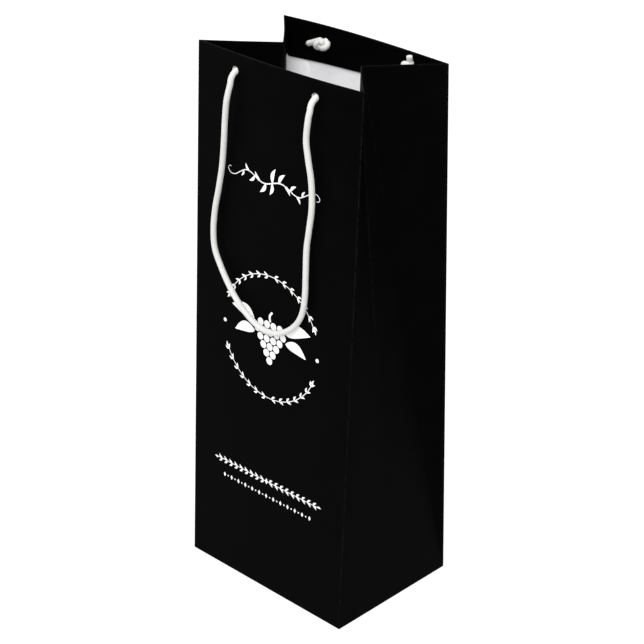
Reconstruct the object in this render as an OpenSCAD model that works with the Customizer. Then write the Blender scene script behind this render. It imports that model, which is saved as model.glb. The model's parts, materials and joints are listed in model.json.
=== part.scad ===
// Tall gift bag for one wine bottle, standing with its mouth pinched in by the side gussets.
// The bag is one sheet of laminated paper. Its creases are living hinges, so every flat
// facet between two creases is a piece of its own. Origin: middle of the base, +Z up,
// front panel towards -Y. All sizes in millimetres.

/* [Bag] */
// Height of the front and back panels along the paper
bag_h = 330; // [280:5:400]
// Width of the front and back panels
bag_w = 126; // [110:1:160]
// Depth of the base, which is also the width of a gusset laid flat
bag_d = 94; // [80:1:110]
// Lean of both panels towards the middle in degrees, which pinches the mouth
lean = 2.35; // [1.5:0.05:3.5]

/* [Paper and card] */
// Thickness of the laminated paper
paper_t = 0.3; // [0.2:0.05:0.4]
// Depth of the hem turned in at the mouth
hem_h = 22; // [20:1:40]
// Thickness of the card strips inside the front and back hems
card_t = 0.4; // [0.3:0.1:0.8]
// Thickness of the loose board on the bottom
board_t = 1; // [0.8:0.1:2]
// Width of the glued seam strip inside the back panel
seam_w = 15; // [10:1:20]

/* [Rope handles] */
// Diameter of the braided rope
rope_d = 3.4; // [3:0.1:4]
// Distance between the two holes of one handle
hole_spacing = 62; // [50:1:64]
// Distance of the holes below the top edge
hole_drop = 10; // [9:0.5:13]
// Diameter of the punched holes
hole_d = 5; // [4.6:0.1:6]
// Diameter of an overhand knot
knot_d = 8.8; // [8:0.2:9.6]
// Length of the rope's tail past the middle of its knot
tail_l = 11; // [8:1:13]

/* [Hidden] */

LEFT = -1;
RIGHT = 1;
black = [0.04, 0.04, 0.045];
white = [0.93, 0.92, 0.9];
grey_board = [0.62, 0.6, 0.56];

// Room left at each crease, so that the facets turn without meeting
edge_gap = 1;
diagonal_gap = 0.4;
foot_gap = 1.3;
flap_gap = 0.6;
hem_gap = 3;
apex_cut = 6;

// Bottom flaps, from the outermost layer inwards
flap_overlap = 12;
flap_mitre = 12;
side_flap_l = 42;
side_flap_taper = 22;
board_gap = 2.5;

// Fold geometry: the gusset is creased along two lines from its bottom corners to the
// middle of its top edge, and the lean of the panels sets how far it folds in
half_d = bag_d / 2;
spread = atan(half_d / bag_h);
edge_fold = acos((1 - sin(lean) / tan(spread)) / cos(lean));
gusset_tilt = acos((1 - tan(spread) * sin(lean)) / cos(lean));

// Layers on the inside of a panel
card_in = paper_t / 2;
hem_in = card_in + card_t;
hem_inner_face = hem_in + paper_t;

hole_v = bag_h - hole_drop;
rope_r = rope_d / 2;
knot_r = knot_d / 2;
knot_in = hem_inner_face + 0.2 + knot_r;

// The handle turns about a line through both rope ends, just outside the panel
swing_out = 7;
stub_out = swing_out - rope_r - 0.3;
ROPE_SIDES = 8;

// Route of a hanging handle: across, out from the panel, down from the swing line
half_hole = hole_spacing / 2;
ROUTE = [
    [-half_hole, 0, 0], [-30.8, 0, -8], [-32.4, 0, -16.5], [-34.3, -0.8, -28], [-36, -1.8, -42],
    [-38, -2.7, -56], [-40.6, -2.9, -70], [-44, -3.2, -85], [-45.2, -3.3, -98],
    [-43.7, -3.2, -109], [-38.5, -3.2, -118.5], [-31.5, -3.2, -128], [-23.5, -3.2, -136.2],
    [-13, -3.2, -143.2], [-3, -3.2, -146.4], [7, -3.2, -145.6], [16.3, -3.2, -141],
    [23.7, -3.2, -134], [28, -3.2, -125.5], [29.5, -3.2, -114.5], [29.6, -3.1, -101],
    [29.6, -3.1, -87], [31.2, -3, -74], [32.8, -2.7, -61], [32.4, -2, -46.5],
    [30.4, -1.2, -34.5], [29, -0.5, -23.5], [30.4, 0, -11.5], [half_hole, 0, 0]
];

// ---- placing ----

// Frame of the front panel: X across, Z up the panel, +Y into the bag
module on_front() {
    translate([0, -half_d, 0]) rotate([-lean, 0, 0]) children();
}

module on_back() {
    mirror([0, 1, 0]) on_front() children();
}

// Frame of the front fold of a gusset: Z up its edge, +Y along the fold
module on_front_fold(side) {
    on_front() translate([side * bag_w / 2, 0, 0]) rotate([0, 0, side * edge_fold]) children();
}

module on_back_fold(side) {
    mirror([0, 1, 0]) on_front_fold(side) children();
}

// Frame of the bottom triangle of a gusset: Z up it, Y along its foot
module on_gusset_bottom(side) {
    translate([side * bag_w / 2, 0, 0]) rotate([0, -side * gusset_tilt, 0]) children();
}

// ---- plates ----

// Plate in the XZ plane, from y to y + thick
module panel_plate(outline, y, thick) {
    translate([0, y + thick, 0]) rotate([90, 0, 0]) linear_extrude(thick) polygon(outline);
}

// Plate in the YZ plane, from x to x + thick
module gusset_plate(outline, x, thick) {
    translate([x, 0, 0]) rotate([90, 0, 90]) linear_extrude(thick) polygon(outline);
}

// Plate lying flat, from z to z + thick
module base_plate(outline, z, thick) {
    translate([0, 0, z]) linear_extrude(thick) polygon(outline);
}

function box_outline(x, y0, y1) = [[-x, y0], [x, y0], [x, y1], [-x, y1]];

module rope_holes() {
    for (side = [LEFT, RIGHT])
        translate([side * half_hole, -5, hole_v]) rotate([-90, 0, 0])
            cylinder(d = hole_d, h = 10, $fn = 48);
}

// ---- panels ----

module panel_sheet() {
    color(black) difference() {
        panel_plate(box_outline(bag_w / 2 - edge_gap, foot_gap, bag_h), -paper_t / 2, paper_t);
        rope_holes();
    }
}

// The hem lies inside the card and closes over its top edge
module hem_sheet() {
    half_w = bag_w / 2 - hem_gap;
    color(black) difference() {
        union() {
            panel_plate(box_outline(half_w, bag_h - hem_h, bag_h), hem_in, paper_t);
            panel_plate(box_outline(half_w, bag_h - paper_t, bag_h), card_in, card_t);
        }
        rope_holes();
    }
}

module top_card_sheet() {
    color(grey_board) difference() {
        panel_plate(
            box_outline(bag_w / 2 - hem_gap - 0.5, bag_h - hem_h + 2, bag_h - paper_t),
            card_in, card_t
        );
        rope_holes();
    }
}

module front_panel() { on_front() panel_sheet(); }
module back_panel() { on_back() panel_sheet(); }
module front_hem() { on_front() hem_sheet(); }
module back_hem() { on_back() hem_sheet(); }
module front_top_card() { on_front() top_card_sheet(); }
module back_top_card() { on_back() top_card_sheet(); }

// Glue flap of the left gusset, stuck to the inside of the back panel below the hem
module side_seam_flap() {
    edge_x = -bag_w / 2 + hem_gap;
    seam_top = bag_h - hem_h - 1;
    color(white) on_back() panel_plate(
        [[edge_x, 6], [edge_x + seam_w, 10], [edge_x + seam_w, seam_top - 4], [edge_x, seam_top]],
        card_in, paper_t
    );
}

// ---- gussets ----

// Half-width of a fold at height z, short of the diagonal crease
function fold_reach(z) = z * tan(spread) - diagonal_gap / cos(spread);
function fold_foot() = (edge_gap + diagonal_gap / cos(spread)) / tan(spread);

module fold_sheet() {
    color(black) gusset_plate(
        [[edge_gap, fold_foot()], [edge_gap, bag_h], [fold_reach(bag_h), bag_h]],
        -paper_t / 2, paper_t
    );
}

module fold_hem_sheet(side) {
    low = bag_h - hem_h;
    inner = side == RIGHT ? -paper_t * 1.5 : paper_t / 2;
    color(black) gusset_plate(
        [[hem_gap, low], [fold_reach(low), low], [fold_reach(bag_h), bag_h], [hem_gap, bag_h]],
        inner, paper_t
    );
}

module bottom_triangle() {
    foot = half_d - foot_gap * tan(spread) - diagonal_gap / cos(spread);
    top = bag_h - apex_cut;
    tip = half_d - top * tan(spread) - diagonal_gap / cos(spread);
    color(black) gusset_plate(
        [[-foot, foot_gap], [foot, foot_gap], [tip, top], [-tip, top]],
        -paper_t / 2, paper_t
    );
}

module left_gusset_bottom() { on_gusset_bottom(LEFT) bottom_triangle(); }
module left_gusset_front() { on_front_fold(LEFT) fold_sheet(); }
module left_gusset_back() { on_back_fold(LEFT) fold_sheet(); }
module left_gusset_front_hem() { on_front_fold(LEFT) fold_hem_sheet(LEFT); }
module left_gusset_back_hem() { on_back_fold(LEFT) fold_hem_sheet(LEFT); }
module right_gusset_bottom() { on_gusset_bottom(RIGHT) bottom_triangle(); }
module right_gusset_front() { on_front_fold(RIGHT) fold_sheet(); }
module right_gusset_back() { on_back_fold(RIGHT) fold_sheet(); }
module right_gusset_front_hem() { on_front_fold(RIGHT) fold_hem_sheet(RIGHT); }
module right_gusset_back_hem() { on_back_fold(RIGHT) fold_hem_sheet(RIGHT); }

// ---- base ----

// Front flap outermost, its far corners cut off; the back flap lies on it
module end_flap(z) {
    half_w = bag_w / 2 - flap_gap;
    color(black) base_plate(
        [
            [-half_w, -half_d + flap_gap], [half_w, -half_d + flap_gap], [half_w, flap_overlap - flap_mitre],
            [half_w - flap_mitre, flap_overlap], [flap_mitre - half_w, flap_overlap],
            [-half_w, flap_overlap - flap_mitre]
        ],
        z, paper_t
    );
}

module side_flap(side) {
    outer = bag_w / 2 - flap_gap;
    half_l = half_d - hem_gap;
    color(black) base_plate(
        [
            [side * outer, -half_l], [side * outer, half_l],
            [side * (outer - side_flap_l), half_l - side_flap_taper],
            [side * (outer - side_flap_l), side_flap_taper - half_l]
        ],
        2 * paper_t, paper_t
    );
}

module bottom_front_flap() { end_flap(0); }
module bottom_back_flap() { mirror([0, 1, 0]) end_flap(paper_t); }
module bottom_left_flap() { side_flap(LEFT); }
module bottom_right_flap() { side_flap(RIGHT); }

module base_board() {
    color(grey_board) translate([0, 0, 3 * paper_t + board_t / 2])
        cube([bag_w - 2 * board_gap, bag_d - 2 * board_gap, board_t], center = true);
}

// ---- rope ----

// Knot on the inside of the hem, with the rope going out through the hole and a cut tail
module knot(side, tail_turn) {
    color(white) translate([side * half_hole, 0, hole_v]) {
        translate([0, knot_in, 0]) sphere(d = knot_d, $fn = 48);
        translate([0, -paper_t / 2 - stub_out, 0]) rotate([-90, 0, 0])
            cylinder(r = rope_r, h = stub_out + paper_t / 2 + knot_in, $fn = 32);
        translate([0, knot_in, 0]) rotate([0, tail_turn, 0])
            cylinder(r = rope_r, h = tail_l, $fn = 32);
    }
}

module front_left_knot() { on_front() knot(LEFT, -100); }
module front_right_knot() { on_front() knot(RIGHT, 100); }
module back_left_knot() { on_back() knot(LEFT, -85); }
module back_right_knot() { on_back() knot(RIGHT, 35); }

function unit(v) = v / norm(v);

// Direction of the route at a point, from its neighbours
function heading(path, i) =
    unit(path[min(i + 1, len(path) - 1)] - path[max(i - 1, 0)]);

// One ring of the rope around the route, in the plane across its direction
function ring(path, i) = let (
    along = heading(path, i),
    side = unit(cross([0, 1, 0], along)),
    out = cross(along, side)
) [
    for (k = [0 : ROPE_SIDES - 1])
        path[i] + rope_r * (side * cos(360 * k / ROPE_SIDES) + out * sin(360 * k / ROPE_SIDES))
];

// Points between the route's own, so that the rings are two or three diameters apart
function finer(path) = [
    for (i = [0 : len(path) - 2])
        each [path[i], (path[i] + path[i + 1]) / 2],
    path[len(path) - 1]
];

module rope_tube(path) {
    rings = [for (i = [0 : len(path) - 1]) each ring(path, i)];
    walls = [
        for (i = [0 : len(path) - 2], k = [0 : ROPE_SIDES - 1])
            let (a = i * ROPE_SIDES, next = (k + 1) % ROPE_SIDES)
                [a + k, a + next, a + ROPE_SIDES + next, a + ROPE_SIDES + k]
    ];
    last = (len(path) - 1) * ROPE_SIDES;
    caps = [
        [for (k = [0 : ROPE_SIDES - 1]) ROPE_SIDES - 1 - k],
        [for (k = [0 : ROPE_SIDES - 1]) last + k]
    ];
    polyhedron(rings, concat(walls, caps));
}

module handle() {
    color(white) translate([0, -paper_t / 2 - swing_out, hole_v]) {
        rope_tube([for (p = finer(ROUTE)) [p[0], -p[1], p[2]]]);
    }
}

module front_handle_cord() { on_front() handle(); }
module back_handle_cord() { on_back() mirror([1, 0, 0]) handle(); }

bottom_front_flap();
bottom_back_flap();
bottom_left_flap();
bottom_right_flap();
base_board();
front_panel();
front_hem();
front_top_card();
front_left_knot();
front_right_knot();
back_panel();
back_hem();
back_top_card();
side_seam_flap();
back_left_knot();
back_right_knot();
left_gusset_bottom();
left_gusset_front();
left_gusset_back();
left_gusset_front_hem();
left_gusset_back_hem();
right_gusset_bottom();
right_gusset_front();
right_gusset_back();
right_gusset_front_hem();
right_gusset_back_hem();
front_handle_cord();
back_handle_cord();
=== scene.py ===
"""Wine gift bag of folded black paper with white rope handles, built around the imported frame."""
import json
import math
import random

import bmesh
import bpy
from mathutils import Matrix, Vector


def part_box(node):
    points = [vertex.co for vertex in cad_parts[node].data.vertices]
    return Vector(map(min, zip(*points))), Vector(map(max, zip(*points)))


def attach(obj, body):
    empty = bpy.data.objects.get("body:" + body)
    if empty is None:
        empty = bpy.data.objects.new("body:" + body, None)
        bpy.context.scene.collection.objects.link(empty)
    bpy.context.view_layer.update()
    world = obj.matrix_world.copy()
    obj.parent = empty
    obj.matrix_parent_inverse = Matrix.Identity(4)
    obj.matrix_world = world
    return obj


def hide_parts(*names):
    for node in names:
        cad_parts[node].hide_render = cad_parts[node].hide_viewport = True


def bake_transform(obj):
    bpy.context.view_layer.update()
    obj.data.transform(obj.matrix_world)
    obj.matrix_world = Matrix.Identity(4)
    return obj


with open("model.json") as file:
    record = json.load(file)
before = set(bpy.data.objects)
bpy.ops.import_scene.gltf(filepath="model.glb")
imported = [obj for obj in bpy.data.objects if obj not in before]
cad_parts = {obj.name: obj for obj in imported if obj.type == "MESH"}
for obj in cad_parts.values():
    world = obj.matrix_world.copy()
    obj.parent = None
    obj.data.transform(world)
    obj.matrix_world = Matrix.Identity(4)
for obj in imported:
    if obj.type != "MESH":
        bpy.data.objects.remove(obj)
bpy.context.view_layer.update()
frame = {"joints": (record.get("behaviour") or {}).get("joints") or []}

MM = 0.001
TINY = 0.001 * MM  # too small to see: keeps divisions and comparisons safe

# ---- sizes, read from the frame ----

EDGE = next(j for j in frame["joints"] if j["name"] == "right_back_edge_fold")
HALF_W, HALF_D = EDGE["pos_m"][0], EDGE["pos_m"][1]
LEAN = math.asin(abs(EDGE["axis"][1]))
SIN_L, COS_L = math.sin(LEAN), math.cos(LEAN)
PAPER_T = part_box("bottom_front_flap")[1].z
PANEL_H = (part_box("front_panel")[1].z - PAPER_T / 2 * SIN_L) / COS_L
HEM_H = (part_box("front_hem")[1].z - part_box("front_hem")[0].z) / COS_L
HEM_LOW = PANEL_H - HEM_H
CARD_T = 0.4 * MM
SLOPE = HALF_D / PANEL_H  # how fast a gusset's diagonal creases close in
EDGE_FOLD = math.acos((1 - SIN_L / SLOPE) / COS_L)
GUSSET_TILT = math.acos((1 - SLOPE * SIN_L) / COS_L)
BOARD_LOW, BOARD_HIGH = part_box("base_board")

HALF_T = PAPER_T / 2
HEM_MID = HALF_T + CARD_T + HALF_T
HEM_FACE = HEM_MID + HALF_T

# ---- handles: the same route as in part.scad, across, out and up from the swing line ----

ROPE_D = 3.4 * MM
ROPE_R = ROPE_D / 2
HALF_HOLE = 31 * MM
HOLE_V = PANEL_H - 10 * MM
HOLE_D = 5 * MM
SWING_OUT = 7 * MM
ROUTE_MM = [
    (-31, 0, 0), (-30.8, 0, -8), (-32.4, 0, -16.5), (-34.3, -0.8, -28), (-36, -1.8, -42),
    (-38, -2.7, -56), (-40.6, -2.9, -70), (-44, -3.2, -85), (-45.2, -3.3, -98),
    (-43.7, -3.2, -109), (-38.5, -3.2, -118.5), (-31.5, -3.2, -128), (-23.5, -3.2, -136.2),
    (-13, -3.2, -143.2), (-3, -3.2, -146.4), (7, -3.2, -145.6), (16.3, -3.2, -141),
    (23.7, -3.2, -134), (28, -3.2, -125.5), (29.5, -3.2, -114.5), (29.6, -3.1, -101),
    (29.6, -3.1, -87), (31.2, -3, -74), (32.8, -2.7, -61), (32.4, -2, -46.5),
    (30.4, -1.2, -34.5), (29, -0.5, -23.5), (30.4, 0, -11.5), (31, 0, 0),
]

# ---- camera ----

CAMERA_AZIMUTH = math.radians(43.86)
CAMERA_ELEVATION = math.radians(26.24)
CAMERA_ROLL = math.radians(0.45)
CAMERA_LENS = 103.64
CAMERA_DISTANCE = 3.307 * PANEL_H
CAMERA_ACROSS = 0.0041 * PANEL_H
CAMERA_UP = -0.0028 * PANEL_H


def link(name, data):
    """A new object in the scene: a mesh, the camera or a light."""
    item = bpy.data.objects.new(name, data)
    bpy.context.scene.collection.objects.link(item)
    return item


def add_camera():
    """The camera, fitted to the photograph's corners."""
    a, e = CAMERA_AZIMUTH, CAMERA_ELEVATION
    back = Vector((math.sin(a) * math.cos(e), -math.cos(a) * math.cos(e), math.sin(e)))
    right = Vector((0, 0, 1)).cross(back).normalized()
    up = back.cross(right)
    cos_r, sin_r = math.cos(CAMERA_ROLL), math.sin(CAMERA_ROLL)
    right, up = cos_r * right + sin_r * up, cos_r * up - sin_r * right
    middle = Vector((0, 0, PANEL_H / 2))
    data = bpy.data.cameras.new("camera")
    data.lens = CAMERA_LENS
    data.sensor_width = 36
    data.clip_start = 0.05
    data.clip_end = 20
    camera = link("camera", data)
    turn = Matrix((right, up, back)).transposed().to_4x4()
    stand = middle + back * CAMERA_DISTANCE + right * CAMERA_ACROSS + up * CAMERA_UP
    camera.matrix_world = Matrix.Translation(stand) @ turn
    bpy.context.scene.camera = camera


# ---- facets: flat frames that the paper is laid out in ----


class Facet:
    """A flat face of the bag: across and up lie in it, out points away from the inside."""

    def __init__(self, origin, across, up, out):
        self.origin = Vector(origin)
        self.across = Vector(across)
        self.up = Vector(up)
        self.out = Vector(out)

    def at(self, a, v, d=0.0):
        return self.origin + self.across * a + self.up * v + self.out * d

    def mirrored(self, x=1, y=1):
        parts = [self.origin, self.across, self.up, self.out]
        return Facet(*[(p.x * x, p.y * y, p.z) for p in parts])


FRONT = Facet((0, -HALF_D, 0), (1, 0, 0), (0, SIN_L, COS_L), (0, -COS_L, SIN_L))
BACK = FRONT.mirrored(y=-1)
FOLD_ACROSS = Vector((-math.sin(EDGE_FOLD), 0, 0)) - FRONT.out * math.cos(EDGE_FOLD)
RIGHT_FRONT_FOLD = Facet(
    (HALF_W, -HALF_D, 0), FOLD_ACROSS, FRONT.up, FOLD_ACROSS.cross(FRONT.up)
)
RIGHT_BOTTOM = Facet(
    (HALF_W, 0, 0),
    (0, 1, 0),
    (-math.sin(GUSSET_TILT), 0, math.cos(GUSSET_TILT)),
    (math.cos(GUSSET_TILT), 0, math.sin(GUSSET_TILT)),
)
FOLDS = {
    ("right", "front"): RIGHT_FRONT_FOLD,
    ("right", "back"): RIGHT_FRONT_FOLD.mirrored(y=-1),
    ("left", "front"): RIGHT_FRONT_FOLD.mirrored(x=-1),
    ("left", "back"): RIGHT_FRONT_FOLD.mirrored(x=-1, y=-1),
}
BOTTOMS = {"right": RIGHT_BOTTOM, "left": RIGHT_BOTTOM.mirrored(x=-1)}


def smooth(x, low, high):
    """0 up to low, 1 from high on, and an even curve between."""
    t = min(1.0, max(0.0, (x - low) / (high - low)))
    return t * t * (3 - 2 * t)


# How far the paper curves out of its flat facets, fading out at their edges
BODY_BOW = 0.8 * MM
MOUTH_BOW = 2.3 * MM
BOW_SKEW = 0.45
FOLD_BOW = 0.5 * MM
VALLEY = 2.2 * MM


def panel_bow(a, v):
    """Outward curve of a panel, which is greatest at the mouth. Both panels curve a little
    more towards one side: the front to its right, and the back, seen from inside, to its left."""
    share = a / HALF_W
    body = BODY_BOW * smooth(v, 0, 0.35 * PANEL_H)
    mouth = MOUTH_BOW * smooth(v, 0.55 * PANEL_H, PANEL_H)
    return (1 - share**2) * (body + mouth * (1 + BOW_SKEW * share))


def back_bow(a, v):
    return panel_bow(-a, v)


BOWS = {"front": panel_bow, "back": back_bow}


def fold_bow(a, v):
    """Inward curve of a gusset's edge triangles."""
    reach = max(v * SLOPE, TINY)
    t = min(1.0, max(0.0, a / reach))
    return -FOLD_BOW * 4 * t * (1 - t) * smooth(v, 0, 0.4 * PANEL_H)


def valley_bow(a, v):
    """The middle crease of a gusset, which fades out towards the base and the mouth."""
    half = max(HALF_D - v * SLOPE, TINY)
    t = min(1.0, abs(a) / half)
    return -VALLEY * (1 - smooth(t, -0.15, 1)) * smooth(v, 0.1 * PANEL_H, 0.7 * PANEL_H) * (
        1 - smooth(v, 0.85 * PANEL_H, PANEL_H)
    )


# ---- meshes ----

SHARP = math.radians(50)
CURVE_STEPS = 24  # between two of a curve's points, before it is cut into equal steps
CLOSEST = 0.12 * MM  # nearer than this, the second of two places is left out


def soften(bm):
    """Shades all faces smooth and turns them outwards."""
    for f in bm.faces:
        f.smooth = True
    bmesh.ops.recalc_face_normals(bm, faces=bm.faces)


def mesh_of(bm, name, materials):
    """A new mesh with these faces and materials. bm is freed."""
    mesh = bpy.data.meshes.new(name)
    bm.to_mesh(mesh)
    bm.free()
    for m in materials:
        mesh.materials.append(m)
    return mesh


def stops(low, high, step, fine=()):
    """Places from low to high about a step apart, closer together beside each fine place."""
    count = max(1, round((high - low) / step))
    found = [low + (high - low) * i / count for i in range(count + 1)]
    for middle in fine:
        for gap in (0, 0.3 * MM, 0.9 * MM, 2 * MM):
            found += [middle - gap, middle + gap]
    found = sorted(x for x in found if low <= x <= high)
    kept = [found[0]]
    for x in found[1:]:
        if x - kept[-1] > CLOSEST:
            kept.append(x)
    kept[-1] = high
    return kept


def rim_directions(rows):
    """The grid's edge points in order round it, each with the way out of the sheet."""
    last, end = len(rows) - 1, len(rows[0]) - 1
    loop = [(0, j) for j in range(end)] + [(i, end) for i in range(last)]
    loop += [(last, j) for j in range(end, 0, -1)] + [(i, 0) for i in range(last, 0, -1)]
    found = []
    for i, j in loop:
        away = Vector((0, 0, 0))
        if j in (0, end):
            away += (rows[i][j] - rows[i][1 if j == 0 else end - 1]).normalized()
        if i in (0, last):
            away += (rows[i][j] - rows[1 if i == 0 else last - 1][j]).normalized()
        found.append((i, j, away.normalized()))
    return found


def grid_normals(rows, outs):
    """The sheet's direction at each point of the grid, on the side that outs gives."""
    last, end = len(rows) - 1, len(rows[0]) - 1
    found = []
    for i in range(last + 1):
        line = []
        for j in range(end + 1):
            along = rows[i][min(j + 1, end)] - rows[i][max(j - 1, 0)]
            up = rows[min(i + 1, last)][j] - rows[max(i - 1, 0)][j]
            n = along.cross(up).normalized()
            line.append(n if n.dot(outs[i][j]) > 0 else -n)
        found.append(line)
    return found


def nought(i, j):
    return 0


def one(i, j):
    return 1


def paper(
    name, rows, outs, materials, thick=PAPER_T, inner_slot=nought, rim_slot=nought, crease=nought
):
    """A closed sheet with round edges around a grid of points in its middle layer.
    outs gives the side that faces out; the slots and the crease mask (wear and painted highlight)
    go by row and column."""
    n_rows, n_cols = len(rows), len(rows[0])
    normals = grid_normals(rows, outs)
    half = thick / 2
    bm = bmesh.new()
    layer = bm.verts.layers.float.new("crease")

    def vert(p, i, j):
        v = bm.verts.new(p)
        v[layer] = crease(i, j)
        return v

    cells = [(i, j) for i in range(n_rows) for j in range(n_cols)]
    outer = {c: vert(rows[c[0]][c[1]] + normals[c[0]][c[1]] * half, *c) for c in cells}
    inner = {c: vert(rows[c[0]][c[1]] - normals[c[0]][c[1]] * half, *c) for c in cells}

    def face(corners, slot):
        f = bm.faces.new(corners)
        f.material_index = slot

    for i in range(n_rows - 1):
        for j in range(n_cols - 1):
            square = [(i, j), (i, j + 1), (i + 1, j + 1), (i + 1, j)]
            face([outer[c] for c in square], 0)
            face([inner[c] for c in square[::-1]], inner_slot(i, j))
    chains = []
    for i, j, away in rim_directions(rows):
        arc = [outer[i, j]]
        for angle in (45, 0, -45):
            t = math.radians(angle)
            offset = (away * math.cos(t) + normals[i][j] * math.sin(t)) * half
            arc.append(vert(rows[i][j] + offset, i, j))
        arc.append(inner[i, j])
        chains.append((arc, rim_slot(i, j)))
    for k, (arc, slot) in enumerate(chains):
        after = chains[(k + 1) % len(chains)][0]
        for a in range(len(arc) - 1):
            face([arc[a], arc[a + 1], after[a + 1], after[a]], slot)
    soften(bm)
    mesh = mesh_of(bm, name, materials)
    mesh.set_sharp_from_angle(angle=SHARP)
    return link(name, mesh)


def facet_rows(facet, heights, across, bow, depth=0.0):
    """Grid of points on a facet, and the side that faces out at each of them. across(v)
    gives the places along it at height v."""
    rows = []
    for v in heights:
        rows.append([facet.at(a, v, bow(a, v) - depth) for a in across(v)])
    return rows, [[facet.out] * len(row) for row in rows]


def length_of(path):
    return sum((b - a).length for a, b in zip(path, path[1:]))


def along_path(points, step):
    """A smooth curve through the points, resampled at equal steps."""
    fine = []
    for i in range(len(points) - 1):
        p0, p1 = points[max(i - 1, 0)], points[i]
        p2, p3 = points[i + 1], points[min(i + 2, len(points) - 1)]
        for k in range(CURVE_STEPS):
            t = k / CURVE_STEPS
            fine.append(
                0.5 * (2 * p1 + (p2 - p0) * t + (2 * p0 - 5 * p1 + 4 * p2 - p3) * t**2
                       + (3 * p1 - p0 - 3 * p2 + p3) * t**3)
            )
    fine.append(points[-1].copy())
    total = length_of(fine)
    count = max(2, round(total / step))
    result, walked, k = [fine[0]], 0.0, 0
    for n in range(1, count):
        target = total * n / count
        while walked + (fine[k + 1] - fine[k]).length < target:
            walked += (fine[k + 1] - fine[k]).length
            k += 1
        share = (target - walked) / (fine[k + 1] - fine[k]).length
        result.append(fine[k].lerp(fine[k + 1], share))
    result.append(fine[-1])
    return result


# ---- rope: a fine braid round a path ----

ROPE_SIDES = 48
ROPE_STEP = 0.34 * MM
BRAID_DEPTH = 0.11 * MM
BRAID_STRANDS = 8
BRAID_PITCH = 2.0 * MM
BRAID_LEVEL = 0.65  # the height of the braid that lies on the rope's own radius
END_RINGS = ((0.9, 0.25), (0.6, 0.45))  # size, and distance past the end in radii


def braid(turn, walked):
    """Height of the braid, 0 between strands to 1 on top of one: two sets of slanting
    strands that pass over and under each other."""
    p = BRAID_STRANDS * turn / math.tau + walked / BRAID_PITCH
    q = BRAID_STRANDS * turn / math.tau - walked / BRAID_PITCH
    across_p = math.sin(math.pi * (p - math.floor(p)))
    across_q = math.sin(math.pi * (q - math.floor(q)))
    if (math.floor(p) + math.floor(q)) % 2:
        across_p, across_q = across_q, across_p
    return across_p**0.9 * across_q**0.3


def ring_of(bm, groove, centre, side, other, radius, walked):
    """One ring of braided rope."""
    ring = []
    for k in range(ROPE_SIDES):
        turn = math.tau * k / ROPE_SIDES
        height = braid(turn, walked)
        far = radius + BRAID_DEPTH * (height - BRAID_LEVEL)
        v = bm.verts.new(centre + (side * math.cos(turn) + other * math.sin(turn)) * far)
        # The groove value, which the rope's material paints as darker shade between strands.
        v[groove] = 1 - height
        ring.append(v)
    return ring


def end_rings(bm, groove, ring, centre, heading, radius):
    """Two smaller rings that round off an end, the outer one last."""
    found = []
    for scale, push in END_RINGS:
        inset = []
        for v in ring:
            spot = centre + (v.co - centre) * scale
            new = bm.verts.new(spot + heading.normalized() * push * radius)
            # A middling groove value, so the end caps are painted a little darker too: painted
            # shade.
            new[groove] = 0.4
            inset.append(new)
        found.append(inset)
    return found


def close_tube(bm, rings):
    """The faces between rings of points, and one over each end."""
    bm.faces.new(rings[0][::-1])
    bm.faces.new(rings[-1])
    for low, high in zip(rings, rings[1:]):
        for k in range(len(low)):
            n = (k + 1) % len(low)
            bm.faces.new((low[k], low[n], high[n], high[k]))


def rope(name, path, radius, material):
    """A closed braided tube along the path; radius(t) runs along it from 0 to 1."""
    bm = bmesh.new()
    # groove: how deep between strands a point lies; the rope's material paints it as darker shade.
    groove = bm.verts.layers.float.new("groove")
    side = (path[1] - path[0]).orthogonal().normalized()
    rings = []
    walked = 0.0
    last = len(path) - 1
    for i, p in enumerate(path):
        ahead = (path[min(i + 1, last)] - path[max(i - 1, 0)]).normalized()
        side = (side - ahead * side.dot(ahead)).normalized()
        if i:
            walked += (p - path[i - 1]).length
        rings.append(ring_of(bm, groove, p, side, ahead.cross(side), radius(i / last), walked))
    first = end_rings(bm, groove, rings[0], path[0], path[0] - path[1], radius(0))
    final = end_rings(bm, groove, rings[-1], path[-1], path[-1] - path[-2], radius(1))
    close_tube(bm, first[::-1] + rings + final)
    soften(bm)
    return link(name, mesh_of(bm, name, [material]))


# ---- materials ----


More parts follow.
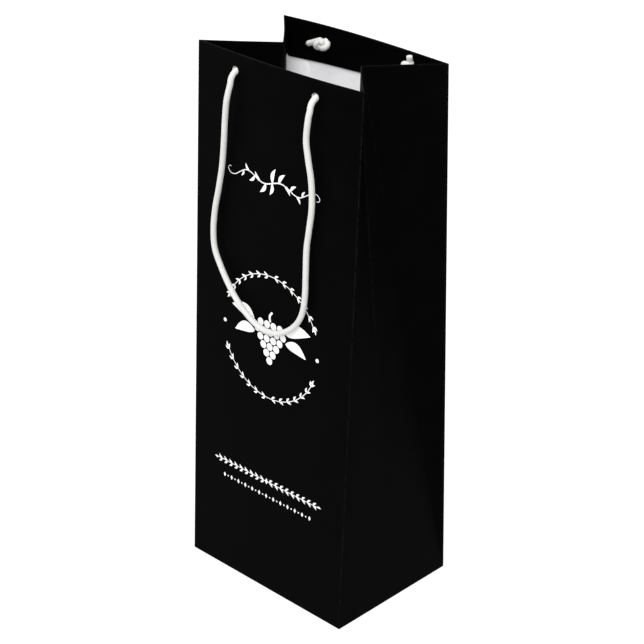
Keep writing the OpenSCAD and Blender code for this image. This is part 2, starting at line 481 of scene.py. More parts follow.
class Shader:
    """A node material under construction."""

    def __init__(self, name):
        self.material = bpy.data.materials.new(name)
        self.material.use_nodes = True
        self.tree = self.material.node_tree
        self.bsdf = self.tree.nodes["Principled BSDF"]
        self.coord = self.add("ShaderNodeTexCoord")

    def add(self, kind, **settings):
        node = self.tree.nodes.new(kind)
        for key, value in settings.items():
            setattr(node, key, value)
        return node

    def join(self, source, target):
        self.tree.links.new(source, target)

    def noise(self, scale, detail=4.0, roughness=0.6, stretch=None):
        node = self.add("ShaderNodeTexNoise")
        node.inputs["Scale"].default_value = scale
        node.inputs["Detail"].default_value = detail
        node.inputs["Roughness"].default_value = roughness
        vector = self.coord.outputs["Object"]
        if stretch:
            mapping = self.add("ShaderNodeMapping")
            mapping.inputs["Scale"].default_value = stretch
            self.join(vector, mapping.inputs["Vector"])
            vector = mapping.outputs["Vector"]
        self.join(vector, node.inputs["Vector"])
        return node.outputs["Fac"]

    def ramp(self, source, low, high, start=0.0, end=1.0):
        node = self.add("ShaderNodeMapRange")
        node.inputs["From Min"].default_value = start
        node.inputs["From Max"].default_value = end
        node.inputs["To Min"].default_value = low
        node.inputs["To Max"].default_value = high
        self.join(source, node.inputs["Value"])
        return node.outputs["Result"]

    def colours(self, source, shades):
        node = self.add("ShaderNodeValToRGB")
        band = node.color_ramp
        while len(band.elements) < len(shades):
            band.elements.new(0.5)
        for element, (position, colour) in zip(band.elements, shades):
            element.position = position
            element.color = (*colour, 1)
        self.join(source, node.inputs["Fac"])
        return node.outputs["Color"]

    def math(self, operation, a, b):
        node = self.add("ShaderNodeMath", operation=operation)
        for socket, value in zip(node.inputs, (a, b)):
            if isinstance(value, (int, float)):
                socket.default_value = value
            else:
                self.join(value, socket)
        return node.outputs["Value"]

    def attribute(self, name):
        return self.add("ShaderNodeAttribute", attribute_name=name).outputs["Fac"]

    def mix(self, factor, a, b):
        node = self.add("ShaderNodeMix", data_type="RGBA")
        self.join(factor, node.inputs["Factor"])
        for socket, value in zip((node.inputs[6], node.inputs[7]), (a, b)):
            if isinstance(value, tuple):
                socket.default_value = (*value, 1)
            else:
                self.join(value, socket)
        return node.outputs[2]

    def bump(self, height, distance, strength=1.0, under=None):
        node = self.add("ShaderNodeBump")
        node.inputs["Distance"].default_value = distance
        node.inputs["Strength"].default_value = strength
        self.join(height, node.inputs["Height"])
        if under:
            self.join(under, node.inputs["Normal"])
        return node.outputs["Normal"]

    def set(self, **values):
        for key, value in values.items():
            socket = self.bsdf.inputs[key.replace("_", " ")]
            if isinstance(value, (int, float, tuple)):
                socket.default_value = value
            else:
                self.join(value, socket)
        return self.material


def black_paper():
    """Black art paper under a matt film: fine tooth, faint mottling, creases lighter as rubbed
    wear and painted highlight.
    """
    s = Shader("black_laminated_paper")
    tooth = s.noise(2600, 3)
    mottle = s.noise(60, 5)
    scuffs = s.noise(900, 2, 0.5, (1, 1, 0.06))
    crease_wear_and_highlight = s.attribute("crease")
    base = s.colours(mottle, [(0.35, (0.0005, 0.0005, 0.00055)), (0.7, (0.0009, 0.0009, 0.00095))])
    # Creases are painted lighter in patches: partly rubbed wear, partly a painted highlight along
    # the folds.
    rubbed_and_highlight = s.math("MULTIPLY", crease_wear_and_highlight, s.ramp(s.noise(420, 4), 0.0, 0.75, 0.38, 0.68))
    colour = s.mix(rubbed_and_highlight, base, (0.007, 0.007, 0.0075))
    rough = s.ramp(mottle, 0.46, 0.58)
    rough = s.math("ADD", rough, s.ramp(scuffs, 0.0, 0.06, 0.55, 0.8))
    normal = s.bump(tooth, 0.00003, 0.35)
    normal = s.bump(s.noise(140, 3), 0.0002, 0.25, normal)
    return s.set(
        Base_Color=colour, Roughness=rough, Specular_IOR_Level=0.012, Normal=normal
    )


def white_paper():
    """The uncoated white inside of the sheet, with its fibres."""
    s = Shader("white_paper")
    fibres = s.noise(1800, 5, 0.7, (1, 1, 0.25))
    cloud = s.noise(45, 4)
    colour = s.colours(cloud, [(0.3, (0.85, 0.845, 0.86)), (0.7, (0.90, 0.895, 0.905))])
    normal = s.bump(fibres, 0.00006, 0.5)
    return s.set(
        Base_Color=colour,
        Roughness=s.ramp(fibres, 0.72, 0.92),
        Specular_IOR_Level=0.3,
        Normal=normal,
    )


def grey_board():
    """Recycled grey board: flecks of darker and lighter fibre."""
    s = Shader("grey_board")
    flecks = s.noise(900, 6, 0.75, (1, 0.35, 1))
    cloud = s.noise(120, 4)
    colour = s.colours(
        flecks,
        [(0.30, (0.20, 0.185, 0.16)), (0.42, (0.36, 0.345, 0.315)), (0.62, (0.44, 0.425, 0.39)),
         (0.74, (0.60, 0.585, 0.55))],
    )
    colour = s.mix(s.ramp(cloud, 0.0, 0.35, 0.4, 0.7), colour, (0.33, 0.315, 0.28))
    normal = s.bump(flecks, 0.00012, 0.6)
    return s.set(
        Base_Color=colour,
        Roughness=s.ramp(cloud, 0.8, 0.95),
        Specular_IOR_Level=0.2,
        Normal=normal,
    )


def rope_cotton():
    """White braided cord: strands from the mesh, yarn and fuzz from the shader."""
    s = Shader("white_rope")
    yarn = s.noise(2400, 4, 0.7)
    cloud = s.noise(160, 3)
    groove = s.attribute("groove")
    base = s.colours(cloud, [(0.3, (0.52, 0.514, 0.50)), (0.7, (0.58, 0.574, 0.56))])
    # Painted shade: the rope is painted darker in the grooves between its strands.
    painted_groove_shade = s.math("MULTIPLY", s.math("POWER", groove, 2.0), 0.55)
    colour = s.mix(painted_groove_shade, base, (0.47, 0.455, 0.42))
    normal = s.bump(yarn, 0.00012, 0.55)
    return s.set(
        Base_Color=colour,
        Roughness=s.ramp(yarn, 0.72, 0.9),
        Specular_IOR_Level=0.25,
        Sheen_Weight=0.25,
        Sheen_Roughness=0.5,
        Normal=normal,
    )


def white_ink():
    """Opaque white print, slightly uneven on the film."""
    s = Shader("white_ink")
    mottle = s.noise(700, 4)
    colour = s.colours(mottle, [(0.3, (0.78, 0.78, 0.78)), (0.65, (0.86, 0.86, 0.86))])
    return s.set(
        Base_Color=colour,
        Roughness=s.ramp(mottle, 0.4, 0.6),
        Specular_IOR_Level=0.3,
        Normal=s.bump(s.noise(2600, 3), 0.00003, 0.3),
    )


BLACK = black_paper()
WHITE = white_paper()
BOARD = grey_board()
ROPE = rope_cotton()
INK = white_ink()


def place(piece, body, node):
    """Says which body a piece moves with, and hides the CAD node it stands for."""
    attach(piece, body)
    if node:
        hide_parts(node)


# ---- panels and their hems ----

CREASE_REACH = 1.1 * MM
PUNCH_DEPTH = 14 * MM
HOLE_SIDES = 40


def wear_and_highlight(distance):
    """Mask for the lighter creases, rubbed wear and a painted highlight: 1 on the crease and 0
    from CREASE_REACH away.
    """
    return 1 - smooth(distance, 0, CREASE_REACH)


def punch(piece, facet):
    """Punches the two rope holes through a sheet; the cut shows the white core."""
    bm = bmesh.new()
    for side in (-1, 1):
        centre = facet.at(side * HALF_HOLE, HOLE_V)
        turn = facet.out.to_track_quat("Z", "Y").to_matrix().to_4x4()
        bmesh.ops.create_cone(
            bm, cap_ends=True, segments=HOLE_SIDES, radius1=HOLE_D / 2, radius2=HOLE_D / 2,
            depth=PUNCH_DEPTH, matrix=Matrix.Translation(centre) @ turn,
        )
    tool = link("punch", mesh_of(bm, "punch", [WHITE]))
    cut = piece.modifiers.new("holes", "BOOLEAN")
    cut.operation = "DIFFERENCE"
    cut.object = tool
    cut.solver = "EXACT"
    cut.material_mode = "TRANSFER"
    graph = bpy.context.evaluated_depsgraph_get()
    result = bpy.data.meshes.new_from_object(piece.evaluated_get(graph))
    piece.modifiers.clear()
    piece.data = result
    result.set_sharp_from_angle(angle=SHARP)
    bpy.data.objects.remove(tool)


HEM_SKEW = {"front": -0.4 * MM, "back": 2.3 * MM}
BEND_STEPS = 6
BEND_LOW = PANEL_H - 0.6 * MM


def hem_rise(end, a):
    """The hems are turned in a little askew: their cut edge rises by HEM_SKEW at the right
    corner and drops as much at the left one."""
    return HEM_SKEW[end] * a / HALF_W


def add_panel(side, facet):
    """Front or back panel, black on the outside and where its hem covers the inside."""
    across = stops(-HALF_W, HALF_W, 6 * MM, (-HALF_W, HALF_W))
    heights = stops(HALF_T, PANEL_H - HALF_T, 9 * MM, (HALF_T, PANEL_H, HEM_LOW))
    rows, outs = facet_rows(facet, heights, lambda v: across, BOWS[side])

    def crease(i, j):
        return wear_and_highlight(min(HALF_W - abs(across[j]), heights[i], PANEL_H - heights[i]))

    def inner(i, j):
        return 0 if heights[i] > HEM_LOW + min(0, hem_rise(side, across[j])) - TINY else 1

    piece = paper(
        side + "_panel_sheet", rows, outs, [BLACK, WHITE], inner_slot=inner, crease=crease
    )
    punch(piece, facet)
    place(piece, side + "_panel", side + "_panel")


def hem_sheet(name, facet, across, depth, bow, rise):
    """A hem on a facet, round the mouth's edge and down the inside. across(v) gives the
    places along it, depth(a, v) how far in its middle layer lies, and the bend round the
    edge is half a circle of that width. rise(a) lifts its white cut edge."""
    # Each step is a height, or None on the bend, and the share of the bend behind it
    steps = [(None, k / BEND_STEPS) for k in range(BEND_STEPS + 1)]
    steps += [(v, 1.0) for v in stops(HEM_LOW, BEND_LOW, 4 * MM, (HEM_LOW,))[::-1]]
    last = len(steps) - 1
    rows, outs = [], []
    for v, share in steps:
        turn = math.pi * share
        line = []
        for a in across(PANEL_H if v is None else v):
            into = depth(a, PANEL_H if v is None else v)
            if v is None:
                height = PANEL_H - HALF_T - into / 2 * (1 - math.sin(turn))
                into = into / 2 * (1 - math.cos(turn))
            else:
                height = v + rise(a) * (PANEL_H - v) / HEM_H
            line.append(facet.at(a, height, bow(a, height) - into))
        rows.append(line)
        outs.append([facet.out * math.cos(turn) + facet.up * math.sin(turn)] * len(line))
    return paper(
        name, rows, outs, [BLACK, WHITE], inner_slot=one,
        rim_slot=lambda i, j: 1 if i == last else 0,
        # The whole bend round the mouth is painted lighter: rubbed wear and a painted highlight.
        crease=lambda i, j: 1.0 if i <= BEND_STEPS else 0.0,
    )


HEM_END = 2.3 * MM
HEM_LIFT = 0.22 * MM
THIN_HEM = PAPER_T + 0.02 * MM


def add_panel_hem(side, facet):
    """The hem of a panel, turned in over its card."""
    half = HALF_W - HEM_END
    across = stops(-half, half, 4 * MM, (-half, half, 2 * MM - half, half - 2 * MM))
    ripple = random.Random(3 if side == "front" else 5)
    waves = [(ripple.uniform(0, math.tau), ripple.uniform(18, 40) * MM) for _ in range(2)]

    def depth(a, v):
        """Past the card's ends the hem lies close, and its free edge stands off unevenly."""
        thin = smooth(abs(a), half - 2.4 * MM, half - 0.6 * MM)
        off = 0.5 + 0.25 * sum(math.sin(p + math.tau * a / w) for p, w in waves)
        edge = HEM_LIFT * off * (1 - smooth(v, HEM_LOW, HEM_LOW + 9 * MM))
        return HEM_MID + (THIN_HEM - HEM_MID) * thin + edge * (1 - thin)

    piece = hem_sheet(
        side + "_hem_sheet", facet, lambda v: across, depth, BOWS[side],
        lambda a: hem_rise(side, a),
    )
    punch(piece, facet)
    place(piece, side + "_panel", side + "_hem")


def add_top_card(side, facet):
    """Strip of board between a panel and its hem, which the ropes go through."""
    half = HALF_W - 3.5 * MM
    across = stops(-half, half, 8 * MM, (-half, half))
    heights = stops(HEM_LOW + 2 * MM, BEND_LOW, 6 * MM)
    depth = HALF_T + CARD_T / 2
    rows, outs = facet_rows(facet, heights, lambda v: across, BOWS[side], depth)
    piece = paper(side + "_top_card_strip", rows, outs, [BOARD], thick=CARD_T - 0.04 * MM)
    punch(piece, facet)
    place(piece, side + "_panel", side + "_top_card")


STRIP_T = 0.14 * MM
STRIP_COLS = 5


def add_seam_flap():
    """Glue strip of the left gusset, on the inside of the back panel."""
    left, width, mitre = -HALF_W + 1.6 * MM, 16.4 * MM, 4 * MM
    low, high = 6 * MM, HEM_LOW - 1 * MM
    heights = sorted(set(stops(low, high, 10 * MM) + [low + mitre, high - mitre]))

    def across(v):
        shut = max(0.0, mitre - (v - low), mitre - (high - v))
        return [left + (width - shut) * k / STRIP_COLS for k in range(STRIP_COLS + 1)]

    rows, outs = facet_rows(BACK, heights, across, back_bow, HALF_T + STRIP_T / 2)
    piece = paper("side_seam_strip", rows, outs, [WHITE], STRIP_T)
    place(piece, "back_panel", "side_seam_flap")


# ---- gussets ----

TIP_START = 2 * MM  # the edge triangles start here, above their bottom point
APEX_CUT = 1.2 * MM  # the bottom triangle ends this far under its top point
CREASE_LAP = 0.06 * MM  # the bottom triangle reaches this far past each diagonal crease


def corner_drop(side, end):
    """How far a gusset's hem drops at the corner, to meet the panel's hem where that is low."""
    return min(0, hem_rise(end, HALF_W if side == "right" else -HALF_W))


def add_fold(side, end, facet):
    """The triangle of a gusset that is joined to the front or back panel."""
    heights = stops(TIP_START, PANEL_H - HALF_T, 9 * MM, (PANEL_H, HEM_LOW))
    shares = [0, 0.006, 0.02, 0.05, 0.15, 0.3, 0.5, 0.7, 0.85, 0.95, 0.98, 0.994, 1]

    def across(v):
        return [share * v * SLOPE for share in shares]

    rows, outs = facet_rows(facet, heights, across, fold_bow)

    def crease(i, j):
        a = shares[j] * heights[i] * SLOPE
        top = smooth(heights[i], 0.6 * PANEL_H, PANEL_H)
        diagonal = (heights[i] * SLOPE - a) * math.cos(math.atan(SLOPE))
        return max(wear_and_highlight(a), wear_and_highlight(PANEL_H - heights[i]), top * wear_and_highlight(diagonal))

    def inner(i, j):
        edge = HEM_LOW + corner_drop(side, end) * (1 - shares[j])
        return 0 if heights[i] > edge - TINY else 1

    name = f"{side}_gusset_{end}"
    piece = paper(
        name + "_fold", rows, outs, [BLACK, WHITE], inner_slot=inner, crease=crease
    )
    place(piece, name, name)


def add_fold_hem(side, end, facet):
    """The hem of that triangle, short of the corner and of the diagonal crease."""
    name = f"{side}_gusset_{end}"

    def across(v):
        reach = v * SLOPE - 0.3 * MM
        return [HEM_END + (reach - HEM_END) * k / 8 for k in range(9)]

    def rise(a):
        return corner_drop(side, end) * (1 - a / (PANEL_H * SLOPE))

    piece = hem_sheet(
        name + "_hem_sheet", facet, across, lambda a, v: THIN_HEM, fold_bow, rise
    )
    place(piece, name, name + "_hem")


def add_gusset_bottom(side, facet):
    """The triangle of a gusset that stands on the base."""
    heights = stops(HALF_T, PANEL_H - APEX_CUT, 9 * MM, (HALF_T,))
    shares = [-1, -0.99, -0.96, -0.85, -0.65, -0.45, -0.25, -0.1, -0.03, 0]
    shares += [-x for x in shares[-2::-1]]

    def across(v):
        return [share * (HALF_D - v * SLOPE + CREASE_LAP) for share in shares]

    rows, outs = facet_rows(facet, heights, across, valley_bow)

    def crease(i, j):
        a = abs(shares[j]) * (HALF_D - heights[i] * SLOPE)
        middle = wear_and_highlight(a) * smooth(heights[i], 0.3 * PANEL_H, 0.8 * PANEL_H)
        return max(wear_and_highlight(heights[i]), 0.8 * middle)

    name = side + "_gusset_bottom"
    piece = paper(
        name + "_triangle", rows, outs, [BLACK, WHITE],
        inner_slot=lambda i, j: 0 if heights[i] > HEM_LOW else 1, crease=crease,
    )
    place(piece, name, name)


# ---- base ----

FLAP_OVERLAP = 12 * MM
FLAP_MITRE = 12 * MM
FLAP_SIDE = 1.6 * MM
FLAP_COLS, FLAP_ROWS = 16, 24
FOOT_LIP_IN = 0.5 * MM
FOOT_LIP_UP = (1.3 * MM, 0.8 * MM)


def level_row(half, columns, point):
    """A row of points from -half to half, where point(a) gives the one at a."""
    return [point(half * (2 * j / columns - 1)) for j in range(columns + 1)]


def add_end_flap(end, way):
    """Front (way -1) or back (way 1) flap of the base. The front one starts with a lip
    behind the panel's foot, and the back one steps up over the end of the front one."""
    tip = -way * FLAP_OVERLAP
    fold = way * HALF_D
    rows = []
    if way < 0:
        fold += FOOT_LIP_IN
        half = HALF_W - FLAP_SIDE
        for z in FOOT_LIP_UP:
            rows.append(level_row(half, FLAP_COLS, lambda x: Vector((x, fold, z))))
    first = len(rows)
    outs = [[Vector((0, way, 0))] * (FLAP_COLS + 1)] * first
    for y in [fold + (tip - fold) * k / FLAP_ROWS for k in range(FLAP_ROWS + 1)]:
        past = max(0.0, FLAP_MITRE - abs(tip - y))
        half = HALF_W - FLAP_SIDE * smooth(abs(fold - y), 0, 2 * MM) - past
        rise = PAPER_T * smooth(-y, -FLAP_OVERLAP - 5 * MM, -FLAP_OVERLAP) if way > 0 else 0
        if way < 0:
            half = min(half, HALF_W - FLAP_SIDE)
        rows.append(level_row(half, FLAP_COLS, lambda x: Vector((x, y, HALF_T + rise))))
        outs.append([Vector((0, 0, -1))] * (FLAP_COLS + 1))
    last = len(rows) - 1
    piece = paper(
        f"bottom_{end}_flap_sheet", rows, outs, [BLACK, WHITE], inner_slot=one,
        rim_slot=lambda i, j: 1 if i == last or first < i and j in (0, FLAP_COLS) else 0,
        crease=lambda i, j: 1.0 if i == first else 0.0,
    )
    place(piece, "base", f"bottom_{end}_flap")


def add_side_flap(side, way):
    """Left (way -1) or right (way 1) flap, folded in first and so on top of the others."""
    length, taper, wide, flare = 42 * MM, 22 * MM, 44 * MM, 2.4 * MM
    columns = 12
    rows = []
    for step in (0, 0.3, 0.7, 1.1, 1.5, 3, 8, 14, 20, 26, 32, 38, 42):
        gone = step * MM
        half = wide - taper * gone / length + flare * (1 - smooth(gone, 0, 3 * MM))
        rise = 2 * PAPER_T * smooth(gone, 0, 1.5 * MM)
        x = way * (HALF_W - gone)
        rows.append(level_row(half, columns, lambda y: Vector((x, y, HALF_T + rise))))
    outs = [[Vector((0, 0, -1))] * (columns + 1)] * len(rows)
    piece = paper(
        f"bottom_{side}_flap_sheet", rows, outs, [BLACK, WHITE], inner_slot=one,
        rim_slot=lambda i, j: 1 if i else 0, crease=lambda i, j: 0 if i else 1.0,
    )
    place(piece, "base", f"bottom_{side}_flap")


def add_base_board():
    """Loose board with slightly rounded corners, lying on the flaps."""
    corner = 1.5 * MM
    half_x, half_y = BOARD_HIGH.x, BOARD_HIGH.y
    thick = BOARD_HIGH.z - BOARD_LOW.z
    middle = (BOARD_HIGH.z + BOARD_LOW.z) / 2
    rows, outs = [], []
    for y in stops(-half_y, half_y, 6 * MM, (-half_y, half_y)):
        cut = corner - math.sqrt(max(0.0, corner**2 - max(0.0, abs(y) - half_y + corner) ** 2))
        reach = half_x - cut
        row = [reach * x / half_x for x in stops(-half_x, half_x, 6 * MM, (-half_x, half_x))]
        rows.append([Vector((x, y, middle)) for x in row])
        outs.append([Vector((0, 0, 1))] * len(row))
    piece = paper("base_board_sheet", rows, outs, [BOARD], thick=thick)
    place(piece, "base", "base_board")


# ---- handles and knots ----

KNOT_R = 1.68 * MM  # the rope's radius where the knot pulls it tight
KNOT_LONG = 1.4 * MM  # scale of the trefoil along its tail, across it, and in depth
KNOT_SHORT = 1.05 * MM
KNOT_RISE = 1.5 * MM
KNOT_CUT = 0.69  # how much of the trefoil is left open, either side of where it would close
KNOT_STEPS = 26
EXIT_SLANT = math.radians(40)
EXIT_MM = [(-0.5, -0.1), (0.3, -0.5), (1.4, -1.35)]  # out and up from the middle of a hole
ELBOW_MM = 7
ELBOW_STEPS = 5
HANG_MM = -11  # the route's points above this give way to the bends at the holes


def cord_point(facet, p, flip):
    """A point of the route on a facet; flip is -1 where it is seen from the other side."""
    out = HALF_T + SWING_OUT + p[1] * MM
    return facet.at(flip * p[0] * MM, HOLE_V + p[2] * MM, out)


def handle_path(end, facet, flip):
    """Rope centreline: slanting out of one hole, round, down, and back up into the other."""
    elbow = list(EXIT_MM)
    out, up = EXIT_MM[-1]
    for k in range(1, ELBOW_STEPS + 1):
        t = EXIT_SLANT + (math.pi / 2 - EXIT_SLANT) * k / ELBOW_STEPS
        reach = ELBOW_MM * (math.sin(t) - math.sin(EXIT_SLANT))
        drop = ELBOW_MM * (math.cos(EXIT_SLANT) - math.cos(t))
        elbow.append((out + reach, up - drop))
    ends = []
    for side in (-1, 1):
        a = side * HALF_HOLE * flip
        hole = BOWS[end](a, HOLE_V)
        ends.append([facet.at(a, HOLE_V + v * MM, hole + d * MM) for d, v in elbow])
    hanging = [cord_point(facet, p, flip) for p in ROUTE_MM if p[2] < HANG_MM]
    return along_path(ends[0] + hanging + ends[1][::-1], ROPE_STEP)


def knot_path(end, facet, a_hole, centre, turn, mirror, tail):
    """Overhand knot on the inside: in through the hole, round the trefoil, out to the tail.
    centre is the knot's place from the hole, across and up. turn rotates it in degrees, and
    mirror is 1 or -1. tail is the place of the tail's end: across, up, depth from the panel."""
    c, s = math.cos(math.radians(turn)), math.sin(math.radians(turn))
    aside = abs(tail[0]) > abs(tail[1])
    wide, tall = (KNOT_LONG, KNOT_SHORT) if aside else (KNOT_SHORT, KNOT_LONG)
    hole = BOWS[end](a_hole, HOLE_V)
    rest = HEM_FACE + 0.1 * MM + KNOT_R

    def inside(a, v, depth):
        return facet.at(a_hole + a, HOLE_V + v, hole - depth)

    def spot(x, y, z):
        a = centre[0] * MM + wide * (mirror * x * c - y * s)
        v = centre[1] * MM + tall * (mirror * x * s + y * c)
        return inside(a, v, rest + KNOT_RISE * (z + 1))

    def trefoil(t):
        x, y = math.sin(t) + 2 * math.sin(2 * t), math.cos(t) - 2 * math.cos(2 * t)
        return spot(x, y, -math.sin(3 * t))

    low, high = KNOT_CUT - math.pi, math.pi - KNOT_CUT
    first = trefoil(low)
    neck = inside(0, 0.2 * MM, rest)
    points = [inside(0, -0.5 * MM, -0.3 * MM), inside(0, -0.1 * MM, 0.9 * MM), neck]
    points.append(neck.lerp(first, 0.55))
    points += [trefoil(low + (high - low) * k / KNOT_STEPS) for k in range(KNOT_STEPS + 1)]
    leave = spot(-0.7, -1.9, -0.75)
    tip = inside(tail[0] * MM, tail[1] * MM, tail[2] * MM)
    points += [leave, leave.lerp(tip, 0.5), tip]
    return along_path(points, ROPE_STEP)


YARNS = 44
YARN_R = 0.17 * MM
YARN_CURL = 0.35 * MM
YARN_SIDES = 5
YARN_STEPS = 4


def add_yarn(bm, chance, end, heading):
    """One loose yarn at a cut end: thinner towards its tip, and a little curled."""
    side = heading.orthogonal().normalized()
    other = heading.cross(side)

    def around(angle):
        return side * math.cos(angle) + other * math.sin(angle)

    away = around(chance.uniform(0, math.tau))
    root = end + away * (chance.uniform(0.2, 0.95) * ROPE_R) - heading * 0.5 * MM
    way = heading + away * chance.uniform(0.0, 0.3)
    length = chance.uniform(0.9, 1.5) * MM
    curl = (side * chance.uniform(-1, 1) + other * chance.uniform(-1, 1)) * YARN_CURL
    rings = []
    for k in range(YARN_STEPS + 1):
        t = k / YARN_STEPS
        centre = root + way * length * t + curl * t * t
        r = YARN_R * (1 - 0.5 * t)
        corners = [around(math.tau * c / YARN_SIDES) * r for c in range(YARN_SIDES)]
        rings.append([bm.verts.new(centre + corner) for corner in corners])
    close_tube(bm, rings)


def fray(path, seed):
    """Loose yarn ends at the cut tail, joined into one mesh."""
    chance = random.Random(seed)
    bm = bmesh.new()
    for _ in range(YARNS):
        add_yarn(bm, chance, path[-1], (path[-1] - path[-4]).normalized())
    soften(bm)
    return bm


def add_knot(end, side, facet, centre, turn, mirror, tail, seed):
    """The knot that stops a rope behind its hole, tight in the middle and frayed at its tail."""
    a_hole = HALF_HOLE * (1 if side == "right" else -1)
    path = knot_path(end, facet, a_hole, centre, turn, mirror, tail)

    def radius(t):
        squeeze = smooth(t, 0.03, 0.12) * (1 - smooth(t, 0.8, 0.92))
        return ROPE_R + (KNOT_R - ROPE_R) * squeeze

    name = f"{end}_{side}_knot"
    piece = rope(name + "_rope", path, radius, ROPE)
    yarns = fray(path, seed)
    yarns.from_mesh(piece.data)
    yarns.to_mesh(piece.data)
    yarns.free()
    place(piece, end + "_panel", name)
    return piece


def add_handle(end, facet, flip):
    """The rope between a panel's two holes."""
    path = handle_path(end, facet, flip)
    piece = rope(end + "_handle_rope", path, lambda t: ROPE_R, ROPE)
    facet.at(0, HOLE_V, 2.6 * MM)
    facet.at(0, HOLE_V - SWING_OUT, HALF_T + SWING_OUT)
    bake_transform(piece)
    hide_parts(end + "_handle_cord")
    exit_point = path[0]
    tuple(exit_point)
    round(length_of(path), 3)


# ---- printed ornament: its places and sizes on the front panel are in millimetres ----

INK_T = 0.04 * MM
STEM_W = 0.42
DISC_SIDES = 28
LEAF_STEPS = 12


def ink(name, outlines, strokes):
    """White print on the front panel, as thin closed plates. An outline is a list of
    (across, up) points going round; a stroke is a list of (left, right) pairs of them."""
    bm = bmesh.new()

    def raised(p, height):
        a, v = p[0] * MM, p[1] * MM
        return bm.verts.new(FRONT.at(a, v, panel_bow(a, v) + HALF_T + height))

    def plate(loop, tops):
        top = [raised(p, INK_T) for p in loop]
        low = [raised(p, -INK_T) for p in loop]
        for corners in tops:
            bm.faces.new([top[k] for k in corners])
            bm.faces.new([low[k] for k in corners[::-1]])
        for k in range(len(loop)):
            n = (k + 1) % len(loop)
            bm.faces.new((top[k], low[k], low[n], top[n]))

    for outline in outlines:
        plate(outline, [list(range(len(outline)))])
    for pairs in strokes:
        last, count = 2 * len(pairs) - 1, len(pairs)
        loop = [left for left, _ in pairs] + [right for _, right in pairs[::-1]]
        plate(loop, [[k, k + 1, last - k - 1, last - k] for k in range(count - 1)])
    bmesh.ops.triangulate(bm, faces=[f for f in bm.faces if len(f.verts) > 4])
    bmesh.ops.recalc_face_normals(bm, faces=bm.faces)
    piece = link(name, mesh_of(bm, name, [INK]))
    place(piece, "front_panel", None)


def disc(a, v, r):
    turns = [math.tau * k / DISC_SIDES for k in range(DISC_SIDES)]
    return [(a + r * math.cos(t), v + r * math.sin(t)) for t in turns]


def leaf(a, v, length, width, angle):
    """A pointed leaf growing from (a, v) at an angle in degrees."""
    t = math.radians(angle)
    right, left = [], []
    for k in range(LEAF_STEPS + 1):
        s = k / LEAF_STEPS
        w = width / 2 * math.sin(math.pi * s**0.8) ** 0.9
        x, y = length * s, 0.12 * length * math.sin(math.pi * s)
        right.append((x, y - w))
        left.append((x, y + w))
    outline = right + left[-2:0:-1]
    return [
        (a + x * math.cos(t) - y * math.sin(t), v + x * math.sin(t) + y * math.cos(t))
        for x, y in outline
    ]


def brush(points, width):
    """A pen stroke through the points; width(t) is how wide it is, t from 0 to 1 along it."""
    path = along_path([Vector((a, v, 0)) for a, v in points], 0.5)
    pairs = []
    last = len(path) - 1
    for i, p in enumerate(path):
        ahead = (path[min(i + 1, last)] - path[max(i - 1, 0)]).normalized()
        cross = Vector((-ahead.y, ahead.x, 0)) * width(i / last) / 2
        pairs.append(((p.x + cross.x, p.y + cross.y), (p.x - cross.x, p.y - cross.y)))
    return pairs


def diamond(a, v, half_w, half_h):
    return [(a + half_w, v), (a, v + half_h), (a - half_w, v), (a, v - half_h)]


FLOURISH_V = 262.7
EMBLEM_V = 168
RING_R = 38.4
DOT_A = 37.6
BRANCH_V = 74
LOZENGE_V = 64


def add_flourish():
    """A pen flourish: a long wavy stem with a curl at each end and small leaves along it."""
    half = [(0, 0), (4, 1.3), (8, 1.6), (12.5, 0.2), (17, -1.9), (21.5, -2.2), (26, 0.1),
            (30, 2.6), (33.6, 3.0), (36, 1.0), (35.2, -1.0), (33.6, -0.9)]
    strokes, outlines = [], []
    for way in (-1, 1):
        curve = [(way * x, FLOURISH_V + way * y) for x, y in half]
        strokes.append(brush(curve, lambda t: 0.75 - 0.45 * t))
        for x, y, length, angle in (
            (5, 1.4, 8, 52), (9.5, 1.4, 6.5, -48), (14, -0.6, 6, 40), (18.5, -2.1, 5.2, -52),
            (23, -1.8, 4.6, 62),
        ):
            turn = angle if way > 0 else angle + 180
            outlines.append(leaf(way * x, FLOURISH_V + way * y, length, 0.3 * length, turn))
    outlines.append(leaf(0, FLOURISH_V, 9.5, 2.8, 75))
    outlines.append(leaf(0, FLOURISH_V, 7.5, 2.4, 255))
    ink("print_flourish", outlines, strokes)


def on_ring(angle):
    """The point of the wreath's circle at an angle in degrees."""
    t = math.radians(angle)
    return RING_R * math.cos(t), EMBLEM_V + RING_R * math.sin(t)


def add_ring():
    """A wreath round the emblem in two branches, over and under it, each growing both ways
    from its middle, with a dot at each side."""
    length, width = 3.6, 1.35
    outlines, strokes = [], []
    for middle in (90, -90):
        for way in (-1, 1):
            curve = [on_ring(middle + way * 8 * k) for k in range(9)]
            strokes.append(brush(curve, lambda t: STEM_W))
            for k in range(7):
                angle = middle + way * (4 + 9.5 * k)
                for spread in (34, -34):
                    turn = angle + way * 90 + spread
                    outlines.append(leaf(*on_ring(angle), length, width, turn))
            tip = middle + way * 63
            outlines.append(leaf(*on_ring(tip), length, width, tip + way * 91))
    for way in (-1, 1):
        outlines.append(disc(way * DOT_A, EMBLEM_V - 1, 1.2))
    ink("print_ring", outlines, strokes)


def add_emblem():
    """A hanging bunch of round berries between two pairs of leaves."""
    across, down, berry_r, leaf_root = 5.2, 4.5, 2.35, 12.45
    outlines = []
    for row, count in enumerate((4, 5, 4, 3, 2, 1)):
        for k in range(count):
            a = (k - (count - 1) / 2) * across
            outlines.append(disc(a, EMBLEM_V + 8 - row * down, berry_r))
    for length, width, angle, rise in ((20, 8, 15, 6.5), (17, 6.6, -15, 0.8)):
        right = leaf(leaf_root, EMBLEM_V + rise, length, width, angle)
        outlines += [right, [(-a, v) for a, v in right]]
    stalk = [(a, EMBLEM_V + v) for a, v in ((0, 10), (-0.6, 13.5), (1.4, 16.5))]
    stem = brush(stalk, lambda t: 1.3 + 0.2 * math.sin(math.pi * t) ** 1.5)
    ink("print_emblem", outlines, [stem])


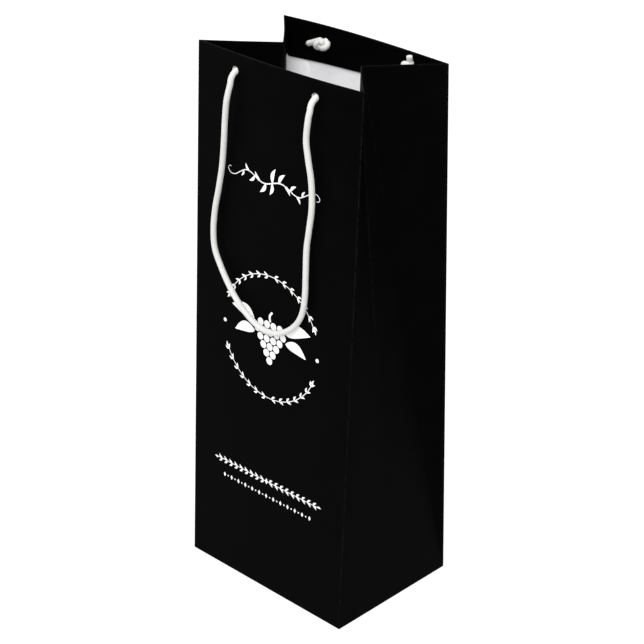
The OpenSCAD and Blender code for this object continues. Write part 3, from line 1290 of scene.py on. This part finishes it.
def add_borders():
    """Two bands under the emblem: a leafy branch growing both ways from a lozenge, and a row
    of small lozenges and dots."""
    outlines = [diamond(0, BRANCH_V, 1.2, 2.1)]
    strokes = [brush([(a, BRANCH_V) for a in (-42, 0, 42)], lambda t: STEM_W)]
    for way in (-1, 1):
        ahead = 0 if way > 0 else 180
        for k in range(9):
            a = way * (2.4 + 4.5 * k)
            for spread in (40, -40):
                outlines.append(leaf(a, BRANCH_V, 3.5, 1.35, ahead + spread))
        outlines.append(leaf(way * 41.6, BRANCH_V, 3.2, 1.3, ahead))
    for k in range(-12, 13):
        if k % 2:
            outlines.append(disc(3 * k, LOZENGE_V, 0.5))
        else:
            outlines.append(diamond(3 * k, LOZENGE_V, 0.95, 1.6))
    ink("print_borders", outlines, strokes)


# ---- putting it together ----

add_camera()

# Each knot's end, side and facet, then its centre, turn, mirror and tail as in knot_path
KNOTS = [
    ("front", "left", FRONT, (0.2, -0.2), -159, -1, (-9.8, -2.0, 4.4)),
    ("front", "right", FRONT, (-0.2, -0.2), 159, 1, (9.8, -2.0, 4.4)),
    ("back", "left", BACK, (-0.5, -0.2), -159, -1, (-10.5, -2.0, 4.4)),
    ("back", "right", BACK, (4.3, 2.3), 180, 1, (5.0, 7.8, 3.4)),
]
for number, (end, side, facet, centre, turn, mirror, tail) in enumerate(KNOTS):
    add_knot(end, side, facet, centre, turn, mirror, tail, 11 + number)
for end, facet, flip in (("front", FRONT, 1), ("back", BACK, -1)):
    add_handle(end, facet, flip)

for side, facet in (("front", FRONT), ("back", BACK)):
    add_panel(side, facet)
    add_panel_hem(side, facet)
    add_top_card(side, facet)
add_seam_flap()
for (side, end), facet in FOLDS.items():
    add_fold(side, end, facet)
    add_fold_hem(side, end, facet)
for side, facet in BOTTOMS.items():
    add_gusset_bottom(side, facet)
for end, way in (("front", -1), ("back", 1)):
    add_end_flap(end, way)
for side, way in (("left", -1), ("right", 1)):
    add_side_flap(side, way)
add_base_board()
add_flourish()
add_ring()
add_emblem()
add_borders()


# ---- floor and light ----

FLOOR_R = 14
FLOOR_DROP = 0.2 * MM


def floor_white():
    """A floor as bright as the background, which still takes a soft shadow."""
    return Shader("floor_white").set(
        Base_Color=(0.22, 0.22, 0.22, 1), Roughness=0.95, Specular_IOR_Level=0.0,
        Emission_Color=(1, 1, 1, 1), Emission_Strength=0.8,
    )


def add_floor():
    bm = bmesh.new()
    bmesh.ops.create_circle(bm, cap_ends=True, segments=64, radius=FLOOR_R)
    floor = link("floor", mesh_of(bm, "floor", [floor_white()]))
    floor.location.z = -FLOOR_DROP


def add_light(name, position, power, size):
    data = bpy.data.lights.new(name, "AREA")
    data.energy = power
    data.shape = "DISK"
    data.size = size
    light = link(name, data)
    light.location = position
    aim = Vector((0, 0, PANEL_H / 2)) - Vector(position)
    light.rotation_mode = "QUATERNION"
    light.rotation_quaternion = aim.to_track_quat("-Z", "Y")


def add_world():
    world = bpy.data.worlds.new("studio")
    world.use_nodes = True
    background = world.node_tree.nodes["Background"]
    background.inputs["Color"].default_value = (1, 1, 1, 1)
    background.inputs["Strength"].default_value = 1.0
    bpy.context.scene.world = world
    bpy.context.scene.view_settings.view_transform = "Standard"


add_floor()
add_light("key", (1.0, -1.4, 2.0), 38, 0.9)
add_light("top", (0.1, -0.6, 2.4), 20, 1.0)
add_light("rim", (-1.4, 1.2, 1.4), 8, 1.0)
add_world()
